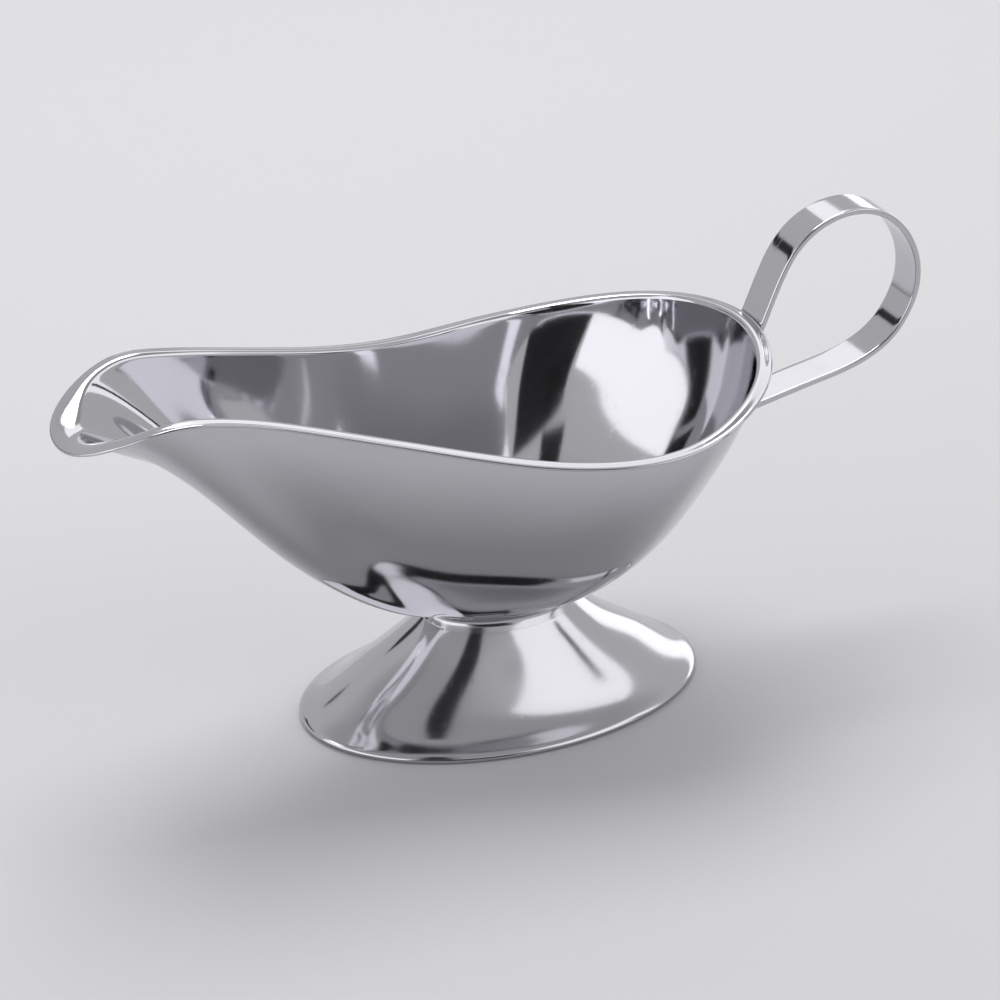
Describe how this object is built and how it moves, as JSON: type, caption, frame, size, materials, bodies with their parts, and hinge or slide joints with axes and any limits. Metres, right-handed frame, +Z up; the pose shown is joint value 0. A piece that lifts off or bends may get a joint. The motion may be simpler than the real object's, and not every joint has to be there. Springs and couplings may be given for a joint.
{
  "type": "gravy boat",
  "caption": "Stainless gravy boat: oval drawn bowl with a long pouring spout, flared oval pedestal foot and a bent strap loop handle.",
  "frame": {"origin": "centre of the foot's seat, on the table plane and on the plane of symmetry", "axes": "+Z up, +X from the spout towards the handle, +Y to the boat's side; the spout points to -X"},
  "size_m": [0.2154, 0.089, 0.1095],
  "materials": {
    "polished_steel": "mirror polished stainless steel",
    "weld_metal": "polished weld bead"
  },
  "bodies": {
    "root": {"bowl": "polished_steel", "pedestal_foot": "polished_steel", "handle_strap": "polished_steel", "foot_weld": "weld_metal", "handle_upper_weld": "weld_metal", "handle_lower_weld": "weld_metal"}
  },
  "joints": []
}
